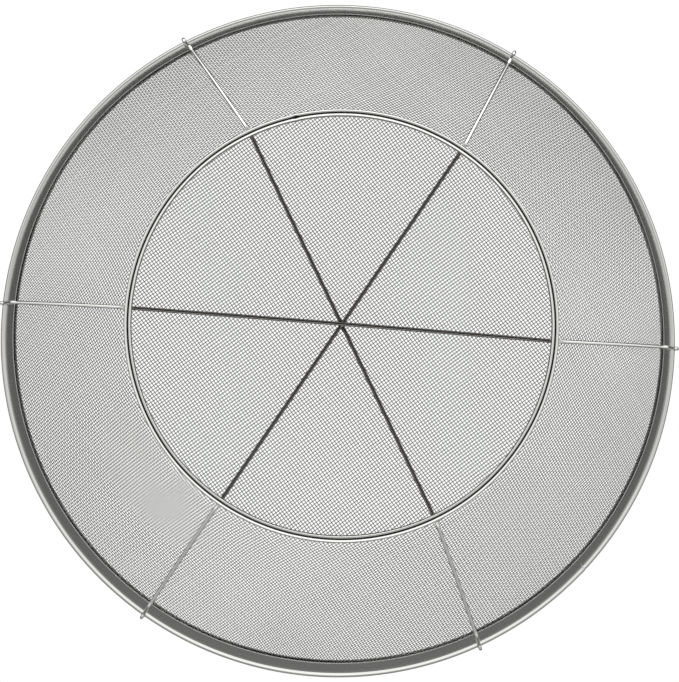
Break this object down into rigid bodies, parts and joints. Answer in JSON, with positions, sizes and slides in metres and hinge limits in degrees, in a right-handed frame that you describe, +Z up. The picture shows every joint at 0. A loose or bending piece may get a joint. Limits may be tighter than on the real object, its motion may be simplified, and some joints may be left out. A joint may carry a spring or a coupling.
{
  "type": "sieve strainer",
  "caption": "Round wire-cloth sieve strainer with a flat bottom, flared wall, rolled rim, cross wires under it and a foot ring, for straining honey.",
  "frame": {"origin": "centre of the foot ring, on the surface that it stands on", "axes": "+Z up along the bowl's axis, out of its mouth; +X along the lowest cross wire"},
  "size_m": [0.3037, 0.3, 0.0719],
  "materials": {
    "woven_wire": "bright drawn stainless wire, plain woven",
    "rim_strip": "polished stainless strip",
    "drawn_wire": "bright drawn stainless wire"
  },
  "bodies": {
    "root": {"wire_cloth_bowl": "woven_wire", "rim_band": "rim_strip", "rim_core_wire": "drawn_wire", "foot_ring": "drawn_wire", "cross_wire_1": "drawn_wire", "cross_wire_2": "drawn_wire", "cross_wire_3": "drawn_wire"}
  },
  "joints": []
}
